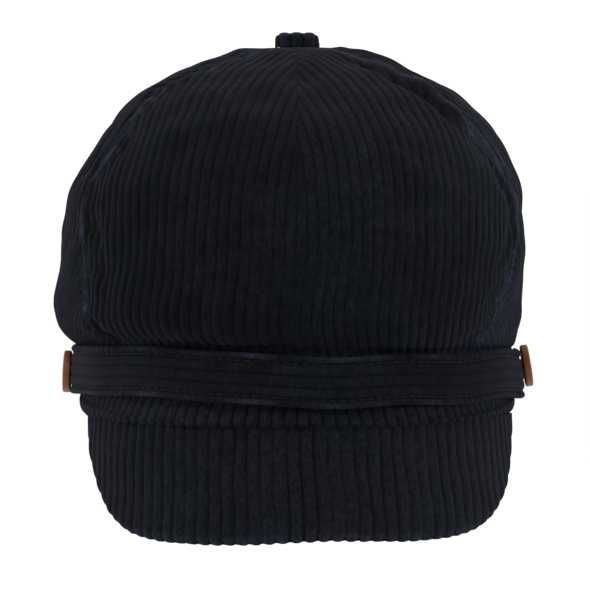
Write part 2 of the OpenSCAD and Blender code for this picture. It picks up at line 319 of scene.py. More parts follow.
def corduroy_material():
    """Cut pile: painted nearly black between the ridges, partly the bare ground and partly painted shade
    in the valleys, uneven where the pile lies another way, and paler where it shows wear and where
    highlights and light are painted. The cloth attribute holds the ridge count across, millimetres
    along, and a painted brightening or darkening by place, partly the pile lying another way and
    partly painted light and shade."""
    n = Nodes("corduroy")
    place = n.place()
    cloth = n.attribute("cloth", "Vector")
    pile = n.attribute("pile", "Fac")
    wear_and_painted_light = n.attribute("wear_and_painted_light", "Fac")
    # The cloth's third part: a painted brightening or darkening by place, partly the pile lying another way
    # and partly painted light and shade.
    painted_light_by_place = n.add("ShaderNodeSeparateXYZ", {0: cloth}).outputs["Z"]
    patches = n.range(n.noise(place, 30, 3.0, 0.62), 0.38, 0.64)
    mottle = n.range(n.noise(place, 120, 3.0, 0.6), 0.3, 0.7)
    own_ridge = n.vector_math("FLOOR", cloth)
    ridge_only = n.vector_math("MULTIPLY", own_ridge, (7.3, 0.0, 0.0))
    along_only = n.vector_math("MULTIPLY", cloth, (0.0, 0.16, 0.0))
    streaks = n.range(n.noise(n.vector_math("ADD", ridge_only, along_only), 1.0, 3.0, 0.6), 0.3, 0.7)
    lay = n.math("MULTIPLY", patches, 0.40)
    lay = n.math("ADD", lay, n.math("MULTIPLY", mottle, 0.26))
    lay = n.math("ADD", lay, n.math("MULTIPLY", streaks, 0.34))
    lay = n.range(n.math("ADD", lay, painted_light_by_place), 0.0, 1.0)
    tufts = n.noise(n.stretched(place, (1500.0, 1500.0, 900.0)), 1.0, 3.0, 0.65)
    specks = n.range(n.noise(n.stretched(place, (700.0, 700.0, 330.0)), 1.0, 2.0, 0.5), 0.34, 0.66)
    green = n.range(n.noise(place, 21, 3.0, 0.6), 0.5, 0.6)
    dark = n.mix(green, rgb(0.0019, 0.0021, 0.0032), rgb(0.0015, 0.0024, 0.0032))
    light = n.mix(green, rgb(0.0064, 0.0068, 0.0094), rgb(0.0052, 0.0074, 0.0094))
    ridge = n.mix(lay, dark, light)
    # Wear and painted highlights: the ridges turn towards a pale blue where the pile shows wear and where
    # highlights and light are painted.
    ridge = n.mix(n.math("MULTIPLY", wear_and_painted_light, n.range(mottle, 0.0, 1.0, 0.5, 1.0)), ridge,
                  rgb(0.0215, 0.0240, 0.0410))
    ridge = n.mix(n.range(specks, 0.0, 1.0, 0.62, 0.0), ridge, rgb(0.0006, 0.0007, 0.001))
    ridge = n.mix(n.range(tufts, 0.35, 0.72), n.mix(0.6, rgb(0.0006, 0.0006, 0.001), ridge), ridge)
    # Painted shade: low pile in the valleys between the ridges is painted nearly black, partly the bare
    # ground and partly the shade that falls there.
    colour = n.mix(n.range(pile, 0.0, 0.65), rgb(0.0006, 0.0007, 0.001), ridge)
    normal = n.bump(tufts, 0.0006, 0.8)
    return n.finish(Base_Color=colour, Roughness=1.0, Specular_IOR_Level=0.05, Normal=normal,
                    Sheen_Weight=0.03, Sheen_Roughness=0.3, Sheen_Tint=rgb(0.4, 0.46, 0.8))


def satin_material():
    """Lining: a close satin with a soft gloss."""
    n = Nodes("satin_lining")
    place = n.place()
    weave = n.noise(n.stretched(place, (2600.0, 2600.0, 500.0)), 1.0, 2.0)
    tone = n.mix(n.range(n.noise(place, 60), 0.3, 0.7), rgb(0.013, 0.014, 0.021),
                 rgb(0.024, 0.026, 0.037))
    return n.finish(Base_Color=tone, Roughness=n.range(weave, 0.2, 0.8, 0.34, 0.5),
                    Specular_IOR_Level=0.5, Normal=n.bump(weave, 0.00006, 0.5),
                    Sheen_Weight=0.15, Sheen_Roughness=0.3)


def ribbon_material():
    """Grosgrain: fine ribs across the ribbon."""
    n = Nodes("grosgrain")
    cloth = n.attribute("cloth", "Vector")
    ribs = n.add("ShaderNodeTexWave", {"Vector": cloth, "Scale": 0.33, "Distortion": 0.15, "Detail": 1.0},
                 wave_type="BANDS", bands_direction="X").outputs["Fac"]
    threads = n.noise(n.stretched(cloth, (1.0, 3.5, 1.0)), 1.0, 3.0)
    tone = n.mix(ribs, rgb(0.005, 0.005, 0.007), rgb(0.021, 0.021, 0.027))
    tone = n.mix(n.range(threads, 0.3, 0.7), n.mix(0.3, tone, rgb(0.002, 0.002, 0.003)), tone)
    return n.finish(Base_Color=tone, Roughness=0.62, Specular_IOR_Level=0.4,
                    Normal=n.bump(n.math("ADD", ribs, n.math("MULTIPLY", threads, 0.4)), 0.00018, 0.8))


def thread_material():
    n = Nodes("thread")
    place = n.place()
    fibres = n.noise(place, 3500, 3.0)
    tone = n.mix(fibres, rgb(0.0017, 0.0019, 0.003), rgb(0.0050, 0.0056, 0.0082))
    return n.finish(Base_Color=tone, Roughness=0.8, Specular_IOR_Level=0.15,
                    Normal=n.bump(fibres, 0.00008, 0.6))


def wood_material():
    """Reddish-brown turned wood under a thin satin polish."""
    n = Nodes("button_wood")
    place = n.place()
    wobble = n.noise(place, 90, 2.0)
    grain = n.noise(n.stretched(place, (500.0, 60.0, 900.0)), 1.0, 4.0, 0.6)
    pores = n.noise(n.stretched(place, (2500.0, 300.0, 4000.0)), 1.0, 2.0)
    tone = n.mix(n.range(grain, 0.3, 0.72), rgb(0.055, 0.014, 0.006), rgb(0.135, 0.038, 0.016))
    tone = n.mix(n.range(wobble, 0.35, 0.7), tone, rgb(0.112, 0.028, 0.011))
    tone = n.mix(n.range(pores, 0.62, 0.75), tone, rgb(0.022, 0.006, 0.003))
    return n.finish(Base_Color=tone, Roughness=n.range(grain, 0.2, 0.8, 0.42, 0.6),
                    Specular_IOR_Level=0.18, Normal=n.bump(pores, 0.00006, 0.5))


def board_material():
    n = Nodes("board")
    place = n.place()
    specks = n.noise(place, 900, 4.0)
    tone = n.mix(specks, rgb(0.48, 0.46, 0.41), rgb(0.68, 0.67, 0.62))
    return n.finish(Base_Color=tone, Roughness=0.85, Normal=n.bump(specks, 0.0001, 0.4))


def interlining_material():
    n = Nodes("interlining")
    place = n.place()
    fibres = n.noise(n.stretched(place, (900.0, 900.0, 300.0)), 1.0, 5.0, 0.7)
    tone = n.mix(fibres, rgb(0.36, 0.36, 0.34), rgb(0.6, 0.59, 0.56))
    return n.finish(Base_Color=tone, Roughness=0.95, Normal=n.bump(fibres, 0.0002, 0.6))


def metal_material():
    n = Nodes("button_metal")
    place = n.place()
    brush = n.noise(n.stretched(place, (300.0, 2500.0, 300.0)), 1.0, 3.0)
    tone = n.mix(brush, rgb(0.42, 0.43, 0.45), rgb(0.62, 0.63, 0.65))
    return n.finish(Base_Color=tone, Metallic=1.0, Roughness=n.range(brush, 0.2, 0.8, 0.28, 0.42),
                    Normal=n.bump(brush, 0.00003, 0.4))


def label_material():
    n = Nodes("label")
    cloth = n.attribute("cloth", "Vector")
    weft = n.noise(n.stretched(cloth, (0.6, 5.0, 1.0)), 1.0, 3.0)
    tone = n.mix(weft, rgb(0.50, 0.48, 0.42), rgb(0.68, 0.66, 0.6))
    return n.finish(Base_Color=tone, Roughness=0.55, Normal=n.bump(weft, 0.0001, 0.6),
                    Sheen_Weight=0.1, Sheen_Roughness=0.3)


CORDUROY = corduroy_material()
SATIN = satin_material()
RIBBON = ribbon_material()
THREAD = thread_material()
WOOD = wood_material()
BOARD = board_material()
INTERLINING = interlining_material()
METAL = metal_material()
LABEL = label_material()


# ---- Crown ----

CROWN_LOW_Z = BAND_H + 0.2
CROWN_WIDE_Z = 44
CROWN_L = (CROWN_FRONT + CROWN_BACK) / 2
CROWN_MIDDLE = (CROWN_BACK - CROWN_FRONT) / 2
LOW_ROWS, HIGH_ROWS = 30, 118
GORE_COLUMNS = 288
SQUARENESS = 2.5
BACK_SQUARENESS = 2.2

# How far sideways each front seam runs, as a share of the crown's half width at a height above
# the band, from the foot of the crown to its top
SEAM_HEIGHTS = [0, 12, 24, 34, 45, 55, 77, 95, 123]
LEFT_SEAM = [0.84, 0.84, 0.88, 0.915, 0.94, 0.95, 0.905, 0.87, 0.86]
RIGHT_SEAM = [0.83, 0.835, 0.845, 0.855, 0.885, 0.915, 0.90, 0.875, 0.87]


def crown_rows(low_rows, high_rows, inset=0.0, drop=0.0, apex_share=0.012):
    """Each row's height, its spread from 0 at the apex to 1, and how far it is folded out at its
    foot. The upper rows are evenly spaced along the surface."""
    low = np.linspace(0, 1, low_rows + 1)
    turn = np.linspace(0, np.arccos(apex_share), 3000)
    top = CROWN_TOP - inset - drop
    power = 0.80 + 0.035 * np.sin(turn)
    spread = np.cos(turn) ** power
    rise = np.sin(turn) ** 0.78
    along = np.hypot(np.diff(spread) * CROWN_L, np.diff(rise) * (top - CROWN_WIDE_Z))
    along = np.cumsum(np.insert(along, 0, 0))
    at = np.linspace(0, along[-1], high_rows + 1)[1:]
    spread = np.concatenate([np.ones(low_rows + 1), np.interp(at, along, spread)])
    high = CROWN_WIDE_Z + (top - CROWN_WIDE_Z) * np.interp(at, along, rise)
    high = high - 3.4 * bump(spread[low_rows + 1:], 0.52, 0.19)
    height = np.concatenate([CROWN_LOW_Z + (CROWN_WIDE_Z - CROWN_LOW_Z) * low, high])
    fold = np.concatenate([low, np.ones(high_rows)])
    return height, spread, fold


def azimuth_of(share):
    """The angle at which the crown's rounded section is this share of its half width sideways."""
    angles = np.linspace(0, 90, 1801)
    sine, cosine = np.sin(np.radians(angles)), np.cos(np.radians(angles))
    reach = sine * (sine ** SQUARENESS + cosine ** SQUARENESS) ** (-1 / SQUARENESS)
    return np.interp(share, reach, angles)


def seam_azimuths(height):
    """The six seams' angles at each row's height, and the first one again after a full turn."""
    above = height - CROWN_LOW_Z
    left = smoothed(azimuth_of(np.interp(above, SEAM_HEIGHTS, LEFT_SEAM)), 8)
    right = smoothed(azimuth_of(np.interp(above, SEAM_HEIGHTS, RIGHT_SEAM)), 8)
    still = np.zeros_like(height)
    return np.stack([still, left, still + 116, still + 180, still + 244, 360 - right, still + 360])


def crown_angles(height, columns):
    """Each grid point's angle, gore after gore."""
    seams = seam_azimuths(height)
    share = np.linspace(0, 1, columns + 1)[:-1, None]
    return np.concatenate([seams[k] + (seams[k + 1] - seams[k]) * share for k in range(6)])


def crown_grid(rows, columns, inset=0.0):
    """The crown's smooth surface as one closed grid: it overhangs the strap and leans a little
    to the wearer's right."""
    height, spread, fold = rows
    a = np.radians(crown_angles(height, columns))
    sine, cosine = np.sin(a), np.cos(a)
    front = np.maximum(cosine, 0) ** 2
    low_side = 0.5 * np.maximum(sine, 0) ** 4 + np.maximum(-sine, 0) ** 4
    # It is tucked in further at the right front, where the strap's edge rises as it swings
    under_strap = bump(crown_angles(height, columns), 314, 34)
    tuck = 0.17 + 0.10 * front - 0.135 * low_side + 0.27 * under_strap
    t = np.clip((fold - tuck) / (1 - tuck), 0, 1)
    out = np.sin(t * np.pi / 2) ** (0.62 - 0.18 * low_side)
    square = np.where(cosine > 0, SQUARENESS, BACK_SQUARENESS)
    square = 2 + (square - 2) * ease(fold, 0.1, 0.9) * ease(spread, 0.0, 0.35)
    reach = (np.abs(sine) ** square + np.abs(cosine) ** square) ** (-1 / square)
    w = (BAND_W + (CROWN_W - PILE_ROOM - BAND_W) * out) * spread - inset
    l = (BAND_L + (CROWN_L - PILE_ROOM - BAND_L) * out) * spread - inset
    w, l = np.maximum(w, 0.3), np.maximum(l, 0.3)
    z = np.broadcast_to(height, w.shape)
    rise = np.clip((z - CROWN_WIDE_Z) / (CROWN_TOP - inset - CROWN_WIDE_Z), 0, 1)
    rounder = np.sqrt(np.clip(1 - rise ** 2, 0, 1)) / np.maximum(spread, 0.05)
    l = l * (1 + 0.35 * front * (np.minimum(rounder, 1) - 1))
    lean = -2.9 * bump(z, 41, 14) - 0.3 * bump(z, 70, 20) + 0.7 * bump(z, 110, 12)
    lean = lean * ease(z, CROWN_LOW_Z, CROWN_LOW_Z + 6)
    fuller = 1.5 * bump(z, 91, 10) * sine - 1.4 * bump(z, 60, 9) * np.maximum(sine, 0)
    x = w * reach * sine + lean + fuller
    lift = 1.0 * bump(x, 42, 18) + 0.3 * bump(x, 24, 10) - 0.3 * bump(x, -20, 12)
    z = z + lift * ease(z, CROWN_WIDE_Z + 30, CROWN_TOP - 12)
    return np.stack([x, CROWN_MIDDLE * out * spread - l * reach * cosine, z], 2)


def ring_arcs(grid, columns):
    """For each gore of a closed grid: distances across it from its middle column, up it, and up
    along its two seams."""
    whole = wrapped(grid)
    up = arc_lengths(whole, 1)
    for number in range(6):
        part = whole[number * columns:(number + 1) * columns + 1]
        across = arc_lengths(part, 0)
        across = across - across[columns // 2][None]
        start, end = up[number * columns], up[(number + 1) * columns]
        share = np.linspace(0, 1, columns + 1)[:, None]
        yield number, across, start[None] * (1 - share) + end[None] * share, start, end


# How far out the pile's wear and its painted highlight reach beside the front side seams, in mm, at heights
# up the seam
BAND_HEIGHTS = [0, 15, 35, 55, 75, 105, 118]
BAND_REACH = [3, 3, 4.5, 7, 9.5, 9, 5]

# Soft rolls and creases beside the seams: the seam's number, the side of it (1 is towards larger
# angles), distance from it, half width, height, and where it starts and ends up the gore
ROLLS = [
    (1, -1, 6.5, 4.5, 3.4, 98, 170), (1, -1, 14.5, 2.6, -2.2, 100, 168), (1, 1, 7, 4, 0.8, 30, 120),
    (1, -1, 2.5, 3.0, 1.6, 40, 105), (1, -1, 10, 4.0, -0.9, 30, 96),
    (5, 1, 3, 2.0, 1.0, 60, 165), (5, 1, 8.5, 2.0, 1.1, 75, 150), (5, -1, 6, 3.0, 1.3, 60, 150),
    (5, 1, 2.0, 3.0, 1.2, 36, 80), (5, 1, 13, 4.0, -0.9, 20, 90), (5, -1, 17, 5.0, -0.9, 70, 140),
    (2, 1, 10, 7, 1.6, 40, 120), (4, -1, 9, 6, 1.5, 60, 135),
    (3, 1, 12, 8, 1.3, 20, 90), (3, -1, 10, 7, 1.1, 70, 140),
]


def gore_relief(number, grid, across, start, end):
    """How far a gore's cloth stands out of the smooth dome, without its ridges, how much wear its pile
    shows together with the highlights and light painted along the front side seams, and how far its
    ridges are pressed flat."""
    half = (across[-1] - across[0])[None] / 2
    share = np.clip(np.abs(across) / np.maximum(half, 1e-6), 0, 1)
    relief = 0.9 * (1 - share ** 3) * ease(half, 4, 26)
    relief = relief + 1.0 * wander(grid, 62, 11) + 0.4 * wander(grid, 24, 12)
    wear_and_painted_light, flat = 0 * relief, 0 * relief
    for side, seam, up in ((1, number, start[None]), (-1, (number + 1) % 6, end[None])):
        distance = across - across[0] if side > 0 else across[-1] - across
        depth = 0.15 if seam in (0, 3) else 1.0
        groove = depth * (0.35 if seam in (1, 5) else 1.0)
        relief = relief - groove * bump(distance, 0, 1.3) - 0.5 * depth * bump(distance, 0, 6)
        puckers = wander_along(up, 9.5, 50 + seam) * (0.6 + 0.4 * wander_along(up, 45, 70 + seam))
        if seam == 1 and side < 0:
            puckers = puckers * (1 - 0.7 * ease(up, 90, 105))
        relief = relief + 0.5 * depth * puckers * np.exp(-distance / 7)
        drags = wander(np.stack(np.broadcast_arrays(distance * 0.5, up + distance * 0.55), -1), 17,
                       90 + seam)
        relief = relief + 0.5 * depth * drags * bump(distance, 9, 9) * ease(distance, 0, 5)
        # Beside the front side seams the pile shows wear where it is crushed, and highlights are painted: a
        # line by the seam, a band beside it and a line on the crest of the roll, where the raised edge is
        # lit.
        if seam in (1, 5):
            on_side_gore = (seam == 1) == (side > 0)
            uneven = 0.8 + 0.3 * wander_along(up, 22, 120 + seam)
            line = 0.8 * bump(distance, 1.4, 1.3) * ease(up, 6, 20)
            low_line = bump(distance, 0.8, 1.0) * ease(up, 4, 14) * (1 - ease(up, 70, 84))
            reach = np.interp(up, BAND_HEIGHTS, BAND_REACH) * (1 if seam == 1 else 0.4)
            band = 0.6 * (1 - ease(distance, reach * 0.75, reach * 1.2)) * (1 - ease(up, 112, 128))
            band = band + 0.3 * bump(distance, reach, 1.3) * ease(up, 60, 72) * (1 - ease(up, 108, 120))
            if on_side_gore:
                wear_and_painted_light = wear_and_painted_light + (line + band * (1 if seam == 1 else 0.5)) * uneven
                relief = relief + 0.9 * bump(distance, 1.8, 1.6) * (1 - ease(up, 90, 110))
            else:
                crest = np.interp(up, [92, 108, 122], [1.5, 4.0, 7.8])
                crest_highlight = 0.9 * bump(distance, crest, 1.5) * ease(up, 92, 104)
                wear_and_painted_light = wear_and_painted_light + (crest_highlight + (1.0 if seam == 1 else 0.5) * low_line) * uneven
        if seam == 1 and side < 0:
            flat = flat + (1 - ease(distance, 9, 13)) * ease(up, 98, 112)
        if seam == 1 and side > 0:
            # Painted light: the lower part of the side gore, beside the front seam, is painted paler.
            wear_and_painted_light = wear_and_painted_light + 0.42 * (1 - ease(up, 22, 52)) * (1 - ease(distance, 12, 30))
        for roll_seam, roll_side, off, width, height, low, high in ROLLS:
            if roll_seam == seam and roll_side == side:
                ends = ease(up, low, low + 20) * (1 - ease(up, high - 16, high))
                sway = off + 0.14 * off * wander_along(up, 50, 30 + seam)
                relief = relief + height * bump(distance, sway, width) * ends
    fade = ease(grid[..., 2], CROWN_LOW_Z + 2, CROWN_LOW_Z + 12) * ease(half, 4.5, 14)
    return relief * fade, np.clip(wear_and_painted_light, 0, 1), np.clip(flat, 0, 1)


# How much cloth the centre seams take up, in mm, at heights above the band: the front and back
# gores' ridges run straight up beside the seam and then into it
CUT_HEIGHTS = [0, 62, 74, 86, 98, 106, 113, 118, 123]
CUT = [0, 0, 1.2, 4.0, 8.4, 13.0, 19.5, 27.0, 40.0]


def seam_distances(number, across):
    """Distance of each point from its gore's nearest side seam, and from its centre seam."""
    from_start, from_end = across - across[0], across[-1] - across
    if number in (0, 3):
        return from_end, from_start
    if number in (2, 5):
        return from_start, from_end
    return np.minimum(from_start, from_end), np.full_like(across, np.inf)


def ridge_phase(number, across, up, height, angles):
    """Distance across the ridges. A side gore's ridges run up its middle, but its cloth is dragged
    down and back at the lower front corner; the others' run beside the centre seam."""
    wobble = 0.22 * wander(np.stack([across, up], -1), 60, 200 + number)
    edge, _ = seam_distances(number, across)
    restless = bump(edge, 10, 9) * ease(edge, 0, 4) * (0.35 + 0.65 * bump(up, 58, 24))
    kinks = wander(np.stack([across * 0.5, up], -1), 10, 210 + number)
    wobble = wobble + 0.8 * kinks * restless
    if GORES[number].startswith("side"):
        on_left = number == 1
        rows = range(across.shape[1])
        at = 90 if on_left else 270
        middle = np.array([np.interp(at, angles[:, row], across[:, row]) for row in rows])
        share = (across - across[0]) / np.maximum(across[-1] - across[0], 1e-6)[None]
        backwards = share if on_left else 1 - share
        drag = 1.8 * np.log1p(np.exp((40 - up) / 6)) * 6 * (1 - ease(backwards, 0.3, 1.1))
        return across - middle[None] + wobble + (-drag if on_left else drag)
    cut = smoothed(np.interp(height - CROWN_LOW_Z, CUT_HEIGHTS, CUT), 6)[None]
    if number in (0, 3):
        return across - across[0] + cut * (1.15 if number == 0 else 1) + wobble
    return across - across[-1] - cut * 0.9 + wobble


def uneven_pile(pile, place, seed, pressed=0.0):
    """The pile with its valleys partly closed in places, where it is pressed down."""
    closed = np.clip(0.2 + 0.24 * wander(place, 22, seed), 0, 0.5) + pressed
    return pile + (1 - pile) * closed


def make_crown():
    rows = crown_rows(LOW_ROWS, HIGH_ROWS)
    smooth = crown_grid(rows, GORE_COLUMNS)
    angles = crown_angles(rows[0], GORE_COLUMNS)
    angles = np.concatenate([angles, angles[:1] + 360])
    normal = grid_normals(smooth, closed=True)
    relief, wear_and_painted_light, flat = (np.zeros(smooth.shape[:2]) for _ in range(3))
    for number, across, _, start, end in ring_arcs(smooth, GORE_COLUMNS):
        part = slice(number * GORE_COLUMNS, (number + 1) * GORE_COLUMNS)
        whole = wrapped(smooth)[part.start:part.stop + 1]
        found = gore_relief(number, whole, across, start, end)
        relief[part], wear_and_painted_light[part], flat[part] = (values[:-1] for values in found)
    shaped = smooth + normal * relief[..., None]
    normal = grid_normals(shaped, closed=True)
    shaped, normal, smooth, wear_and_painted_light, flat = map(wrapped, (shaped, normal, smooth, wear_and_painted_light, flat))
    for number, across, up, _, _ in ring_arcs(smooth[:-1], GORE_COLUMNS):
        part = slice(number * GORE_COLUMNS, (number + 1) * GORE_COLUMNS + 1)
        gore = GORES[number]
        place = np.stack([across, up], -1)
        phase = ridge_phase(number, across, up, rows[0], angles[part])
        crushed = 0.84 + 0.16 * wander(place, 17, 220 + number)
        crushed = crushed * (1 - 0.3 * wear_and_painted_light[part])
        pitch = WALE_PITCH if gore.startswith("side") else CROWN_PITCH
        ridges = wale(phase, pitch)
        from_side, from_centre = seam_distances(number, across)
        from_side = np.where(from_side < from_centre - 1e-6, from_side, 1e3)
        ridges = ridges * (1 - 0.8 * bump(from_side, 0, 1.2))
        ridges = ridges + (0.8 - ridges) * flat[part] * 0.85
        apex = ease(np.hypot(smooth[part][..., 0], smooth[part][..., 1]), 6, 13)
        foot = ease(up, 0.5, 3.5) * apex
        height = (ridges * crushed - 1) * WALE_H * foot
        height[[0, -1]] = -0.5 * WALE_H * foot[[0, -1]]
        outer = shaped[part] + normal[part] * height[..., None]
        inner = shaped[part] - normal[part] * CORD_T
        x, z = smooth[part][..., 0], smooth[part][..., 2]
        if gore.startswith("front"):
            # Painted light: the lowest rows of the front gores, in the gap just above the strap where shade
            # falls, are painted paler.
            painted_light_above_strap = 0.42 * (1 - ease(up, 4, 10)) * (1 - ease(np.abs(x), 60, 80))
            wear_and_painted_light[part] = np.maximum(wear_and_painted_light[part], painted_light_above_strap)
        # Painted light and shade by place, partly the pile lying another way: paler towards the wearer's left
        # and darker towards the right, paler low on the wearer's left side, darker low on both sides of the
        # front, and paler high on the front just left of the middle.
        painted_light_by_place = 0.22 * ease(x, 0, 50) - 0.48 * ease(-x, 35, 75)
        painted_light_by_place = painted_light_by_place + 0.5 * ease(x, 76, 84) * (1 - ease(z, 50, 75))
        low_corner = ease(np.abs(x), 35, 60) * (1 - ease(np.abs(x), 78, 84))
        painted_light_by_place = painted_light_by_place - 0.18 * low_corner * (1 - ease(z, 60, 75))
        painted_light_by_place = painted_light_by_place + 0.16 * bump(x, 20, 26) * bump(z, 106, 14)
        cloth = np.stack([phase / pitch + 100 * number, up, painted_light_by_place], -1)
        pressed = 0.28 * bump(x, 0, 60) * bump(z, 68, 28)
        pile = uneven_pile(ridges * crushed, place, 230 + number, pressed)
        pile = np.maximum(pile, 0.8 * wear_and_painted_light[part])
        piece = cloth_shell(f"crown_gore_{gore}", outer, inner, "cap", "corduroy", CORDUROY,
                            pile=pile, cloth=cloth, wear_and_painted_light=wear_and_painted_light[part])
        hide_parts(f"crown_panel_{gore}")


LINING_COLUMNS = 60


def make_lining():
    smooth = crown_grid(crown_rows(10, 60, 4.4, 3.5, 0.004), LINING_COLUMNS, 4.4)
    normal = grid_normals(smooth, closed=True)
    smooth, normal = wrapped(smooth), wrapped(normal)
    for number, across, up, _, _ in ring_arcs(smooth[:-1], LINING_COLUMNS):
        part = slice(number * LINING_COLUMNS, (number + 1) * LINING_COLUMNS + 1)
        edge = np.minimum(across - across[0], across[-1] - across)
        folds = 0.7 * wander(smooth[part], 34, 31) + 0.35 * wander(smooth[part], 13, 32)
        puckers = 0.5 * wander_along(up, 8, 300) * np.exp(-edge / 5)
        relief = (folds - 0.9 + puckers + 0.9 * bump(edge, 0, 1.5)) * ease(up, 1, 14)
        outer = smooth[part] + normal[part] * relief[..., None]
        piece = cloth_shell(f"lining_{GORES[number]}", outer, outer - normal[part] * 0.35, "cap",
                            "lining", SATIN)
        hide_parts(f"lining_panel_{GORES[number]}")


# ---- Rings round the head ----

def ring_grid(angles, outs, heights, half_w=BAND_W, half_l=BAND_L):
    """Points round the head at each angle, for a section given as distances out of the band's
    outer face and heights. outs and heights are one section, or one for each angle."""
    a = np.radians(angles)[:, None]
    w, l = half_w + outs, half_l + outs
    return np.stack(np.broadcast_arrays(w * np.sin(a), -l * np.cos(a), heights + 0 * a), axis=2)


def opening_ring(angles, outs, heights):
    """The same with distances out of the head opening."""
    return ring_grid(angles, outs, heights, OPEN_W, OPEN_L)


def strap_ring(angles, outs, heights):
    """The same with distances out of the strap's face."""
    return ring_grid(angles, outs, heights, STRAP_OUT_W, STRAP_OUT_L)


def ring_distance(angles):
    """Distance round the headband from the centre front."""
    a = np.radians(angles)
    steps = np.hypot(BAND_W * np.cos(a), BAND_L * np.sin(a))
    along = np.insert(np.cumsum((steps[1:] + steps[:-1]) / 2 * np.diff(a)), 0, 0)
    return along - np.interp(0, angles, along)


def make_headband():
    """The outer band: hidden behind the strap at the front, a soft roll below it."""
    angles = np.linspace(-180, 180, 901)[:-1]
    heights = np.linspace(-0.6, BAND_H + 0.1, 46)[None]
    a = np.radians(angles)[:, None]
    front = ease(np.cos(a), -0.12, 0.25)
    behind_strap = ease(heights, 6.0, 8.5)
    roll = bump(heights, 3.4, 3.6) * (1.5 + 0.9 * np.cos(a)) * front
    puff = 0.9 * (1 - ((heights - 12) / 13) ** 2) * (1 - front)
    lumps = 0.5 * wander(ring_grid(angles, 0, heights), 26, 61)
    outs = roll + puff + lumps * (1 - front * behind_strap)
    outs = outs - 0.9 * bump(heights, -0.6, 1.1) - 0.5 * bump(heights, BAND_H, 1.4)
    outs = outs - 1.4 * bump(np.abs(angles)[:, None], 180, 0.8)
    tuck = 2.6 * bump(angles, -96, 19) + 1.2 * bump(angles, 96, 19)
    outs = outs - tuck[:, None] * ease(-heights, -9, 1)
    outs = np.maximum(outs, -1.1 - 1.2 * ease(-heights, -1.5, 0))
    gap = (STRAP_OUT_W - STRAP_T - BAND_W) * np.sin(a) ** 2
    gap = gap + (STRAP_OUT_L - STRAP_T - BAND_L) * np.cos(a) ** 2 - 0.5
    gap = gap - 0.8 * np.maximum(np.cos(a), 0)
    swung = STRAP_LOW - STRAP_SWING * BAND_L * np.maximum(np.cos(a), 0)
    outs = np.minimum(outs, gap + 3 * (1 - ease(heights, swung - 2, swung - 0.3)))
    smooth = ring_grid(angles, outs, heights)
    n = grid_normals(smooth, closed=True)
    along = ring_distance(angles)[:, None] + 0 * heights
    slant = 0.75 * np.sin(np.radians(np.clip(angles, -90, 90))) * (np.abs(angles) < 120)
    slant = slant[:, None] * (1 - ease(np.abs(angles), 90, 120))[:, None]
    ridges = wale(along + slant * heights + 0.4 * wander(smooth, 30, 62))
    outer = smooth + n * ((ridges - 1) * WALE_H)[..., None]
    turned_in = np.where(heights < 1.3, -3.45, -2.1)
    inner = ring_grid(angles, np.minimum(turned_in, outs - 1.0), heights)
    inner[:, 0] = ring_grid(angles, outs[:, :1] - 0.9, heights[:, :1] + 0.4)[:, 0]
    cloth = np.stack([along / WALE_PITCH + 900, heights + 0 * along, 0.85 + 0 * along], -1)
    piece = cloth_shell("headband_corduroy", outer, inner, "cap", "corduroy", CORDUROY,
                        closed=True, pile=ridges, cloth=cloth, wear_and_painted_light=0.12 * front + 0 * along)
    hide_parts("headband")


def make_sweatband():
    angles = np.linspace(-180, 180, 721)[:-1]
    heights = np.linspace(0.4, SWEATBAND_TOP, 22)[None]
    a = angles[:, None]
    wave = 0.35 * wander(np.stack([np.sin(np.radians(a)) * 60 + 0 * heights,
                                   np.cos(np.radians(a)) * 60 + 0 * heights,
                                   0 * a + heights], -1), 30, 63) * ease(heights, 8, 30)
    outs = -0.9 - 0.5 * ease(heights, 24, 31) - 0.35 * ease(-heights, -2.5, 0) + wave
    faces_in = opening_ring(angles, outs, heights)
    faces_out = opening_ring(angles, outs + 0.75, heights)
    along = ring_distance(angles)[:, None] + 0 * heights
    cloth = np.stack([along, heights + 0 * along, 0 * along], -1)
    piece = cloth_shell("sweatband_ribbon", faces_out, faces_in, "cap", "ribbon", RIBBON,
                        closed=True, cloth=cloth)
    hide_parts("sweatband")
    rows = []
    for height in (3.0, SWEATBAND_TOP - 3.5):
        out = float(np.interp(height, heights[0], outs.mean(0))) - 0.1
        rows.append(opening_ring(np.linspace(-180, 180, 1441), np.array([[out]]),
                                 np.array([[height]]))[:, 0])
    stitch_row("sweatband_stitching", rows, "cap", 3.0, 0.9, 0.28)


def stitch_row(name, lines, body, length, gap, radius):
    """Rows of running stitches: each one a short round thread that dips in at its ends."""
    points, faces = [], []
    sides, rings = 6, 7
    turn = np.linspace(0, 2 * np.pi, sides, endpoint=False)
    for line in lines:
        along = np.insert(np.cumsum(np.linalg.norm(np.diff(line, axis=0), axis=1)), 0, 0)
        starts = np.arange(gap, along[-1] - length, length + gap)
        for start in starts:
            at = np.linspace(start, start + length, rings)
            centre = np.stack([np.interp(at, along, line[:, k]) for k in range(3)], 1)
            forward = centre[-1] - centre[0]
            forward /= np.linalg.norm(forward)
            up = np.array([0.0, 0.0, 1.0])
            out = np.cross(forward, up)
            thick = radius * np.sqrt(np.clip(1 - np.linspace(-0.97, 0.97, rings) ** 2, 0.03, 1)) ** 0.6
            base = len(points)
            for ring in range(rings):
                for t in turn:
                    points.append(centre[ring] + thick[ring] * (math.cos(t) * out + math.sin(t) * up))
            faces += round_faces(rings, sides, base)
    return make_piece(name, np.array(points), faces, body, THREAD)


# ---- Strap ----

BUTTON_R = (cad_box("left_button")[1].y - cad_box("left_button")[0].y) / 2
BUTTON_T = 3.1
BUTTON_BACK = 1.5
BUTTON_DISH = 0.75         # how far its face is hollowed out
HOLE_OFFSET = 2.2
HOLE_R = 0.95
BORE_LENGTH = 12
STRAP_END = 95.6           # the strap's end, in degrees from the centre front


